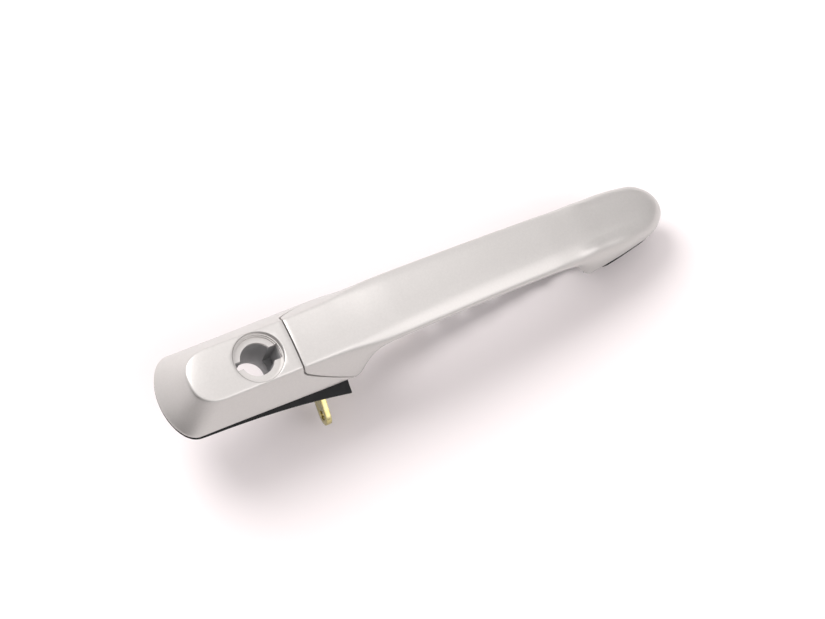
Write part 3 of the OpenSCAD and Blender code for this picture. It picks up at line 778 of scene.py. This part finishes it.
# %% One finish per slot
FINISHES = {
    # silver basecoat with fine flake under clear lacquer: a soft bright sheen, very slightly cloudy
    "silver_paint": finish("silver_paint_clear_coat", ("#C9C5C2", "#D4D0CD"), 0.9, (0.36, 0.42),
                           bump=0.02, metallic=0.55, coat=0.3),
    # moulded EPDM rubber: near black with a dull bloom
    "black_rubber": finish("moulded_epdm_rubber", ("#0E0E0F", "#18181A"), 2.5, (0.5, 0.66), bump=0.15,
                           specular=0.3),
    # polyamide, moulded grey, with a satin skin
    "grey_plastic": finish("moulded_grey_polyamide", ("#8E8D8E", "#9E9D9E"), 3.0, (0.42, 0.55), bump=0.1),
    # glass-filled nylon: matt black, with pale fibres that mottle the skin
    "black_nylon": finish("glass_filled_nylon", ("#18181A", "#2B2B2E"), 0.8, (0.45, 0.7), bump=0.3),
    # polypropylene with an eroded grain: matt dark grey
    "dark_plastic": finish("grained_polypropylene", ("#2A2A2C", "#343436"), 0.6, (0.5, 0.65), bump=0.6),
    # bright zinc plate on steel screws: pale, a little blue and shiny
    "zinc_screw": finish("bright_zinc_plate", ("#B9BDC4", "#D3D6DA"), 1.5, (0.22, 0.36), metallic=1.0),
    # ground steel: grey with grinding lines
    "steel": finish("ground_steel", ("#A4A5A7", "#BFC0C1"), 0.6, (0.26, 0.4), bump=0.15, metallic=1.0,
                    stretch=(1, 6, 6)),
    # oiled spring steel: dark grey
    "spring_steel": finish("oiled_spring_steel", ("#6B6B6E", "#808084"), 1.2, (0.25, 0.42), metallic=1.0),
    # free-turning brass: warm yellow with a fine turned sheen
    "brass_insert": finish("turned_brass", ("#B8923F", "#CFAE62"), 0.8, (0.25, 0.4), metallic=1.0),
    # die-cast zinc, tumbled: dull silver with a fine pitted skin
    "cast_zinc": finish("die_cast_zinc", ("#8F8F8D", "#ABABA8"), 0.9, (0.42, 0.62), bump=0.5, metallic=1.0),
    # natural acetal: milky white
    "white_acetal": finish("natural_acetal", ("#E6E3D8", "#EFEDE4"), 3.0, (0.32, 0.42)),
    # zinc plate with yellow chromate: gold that drifts to pale straw
    "yellow_zinc": finish("yellow_chromate_zinc", ("#B7A660", "#E2D9AE"), 3.5, (0.2, 0.34), bump=0.05,
                          metallic=1.0),
}
for piece in bpy.data.objects:
    slot = piece.get("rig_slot")
    if piece.type == "MESH" and slot in FINISHES:
        piece.data.materials.clear()
        piece.data.materials.append(FINISHES[slot])
print("finishes:", len(FINISHES))

# %% [markdown]
# ## Camera, table and light
# The camera looks down on the handle from the cap's lower side, turned so that the handle rises
# across the picture. The handle rests on its front seat and on the lever and hook under the cap, so
# the table is a plane through those, a little tilted to the handle's own axes.

# %% Camera
LOOK_AT = Vector((71.05, -2.7, 8.0))
DISTANCE, LENS = 769.5, 80.7
view_axis = Vector((0.334, 0.211, -0.919)).normalized()
camera_right = Vector((0.878, -0.424, 0.222))
camera_right = (camera_right - view_axis * camera_right.dot(view_axis)).normalized()
camera_up = camera_right.cross(view_axis)
camera_data = bpy.data.cameras.new("camera")
camera = bpy.data.objects.new("camera", camera_data)
bpy.context.scene.collection.objects.link(camera)
turn = Matrix((camera_right, camera_up, -view_axis)).transposed().to_4x4()
camera.matrix_world = Matrix.Translation((LOOK_AT - view_axis * DISTANCE) * MM) @ turn
camera_data.lens, camera_data.sensor_width = LENS, 36.0
bpy.context.scene.camera = camera

# %% Table
FLOOR_TILT = Vector((-0.158, 0.05, 0.986)).normalized()
lowest = min(FLOOR_TILT.dot(v.co) for n in frame["nodes"].values() for v in n.data.vertices)
deselect_all()
bpy.ops.mesh.primitive_circle_add(vertices=96, radius=0.9, fill_type="NGON")
table = named("table_top")
centre = Vector((0.07, 0, 0))
centre += FLOOR_TILT * (lowest - 0.0005 - FLOOR_TILT.dot(centre))
table.matrix_world = (Matrix.Translation(centre)
                      @ Vector((0, 0, 1)).rotation_difference(FLOOR_TILT).to_matrix().to_4x4())
place_in_mesh(table)
# the table is white to the camera, and a shade greyer in the light that it throws back
pale = bpy.data.materials.new("white_paper_table")
pale.use_nodes = True
paper = pale.node_tree
seen = add(paper, "ShaderNodeLightPath").outputs["Is Camera Ray"]
shade = add(paper, "ShaderNodeMix", {"data_type": "RGBA"}, {
    0: seen, 6: srgb("#F0ECEC"), 7: srgb("#FBF3F3")}).outputs[2]
paper.links.new(shade, paper.nodes["Principled BSDF"].inputs["Base Color"])
paper.nodes["Principled BSDF"].inputs["Roughness"].default_value = 0.9
table.data.materials.append(pale)

# %% Room light
world = bpy.context.scene.world or bpy.data.worlds.new("studio")
bpy.context.scene.world = world
world.use_nodes = True
sky = world.node_tree
background = sky.nodes["Background"]
direction = add(sky, "ShaderNodeTexCoord").outputs["Generated"]


def glow(towards, low, high, amount):
    """A soft lobe of light (or, with a negative amount, of shade) in one direction."""
    dot = add(sky, "ShaderNodeVectorMath", {"operation": "DOT_PRODUCT"}, {
        0: direction, 1: Vector(towards).normalized()}).outputs["Value"]
    return add(sky, "ShaderNodeMapRange", {"interpolation_type": "SMOOTHSTEP"}, {
        "Value": dot, "From Min": low, "From Max": high, "To Min": 0.0, "To Max": amount}).outputs[0]


# where each lobe points, how near to that direction it starts and is full, and its amount
LOBES = [
    ((0, 0, 1), -0.3, 1.0, 0.42),               # brighter overhead
    ((-0.79, -0.44, 0.35), 0.62, 1.0, -1.15),   # dim beyond the cap's end
    ((1, 0.1, 0.35), 0.46, 1.0, -0.58),         # dim beyond the nose
    ((0.33, -0.56, 0.76), 0.9, 0.99, 1.5),      # a bright patch high up on the -Y side
    ((0.3, -1, 0.1), 0.75, 1.0, -0.15),         # a little dimmer low down on the -Y side
]
EVEN_LEVEL = 0.68
level = None
for lobe in LOBES:
    part = glow(*lobe)
    level = part if level is None else add(sky, "ShaderNodeMath", {"operation": "ADD"}, {
        0: level, 1: part}).outputs[0]
strength = add(sky, "ShaderNodeMath", {"operation": "ADD"}, {0: level, 1: EVEN_LEVEL}).outputs[0]
sky.links.new(strength, background.inputs["Strength"])
background.inputs["Color"].default_value = (1.0, 0.985, 0.99, 1)


def soft_light(name, place, size, power):
    data = bpy.data.lights.new(name, "AREA")
    data.shape, data.size, data.energy = "DISK", size, power
    lamp = bpy.data.objects.new(name, data)
    bpy.context.scene.collection.objects.link(lamp)
    lamp.location = place
    lamp.rotation_euler = (Vector((0.07, 0, 0)) - Vector(place)).to_track_quat("-Z", "Y").to_euler()


soft_light("key_softbox", (-0.35, 0.6, 0.85), 0.6, 7)
bpy.context.scene.view_settings.view_transform = "Standard"
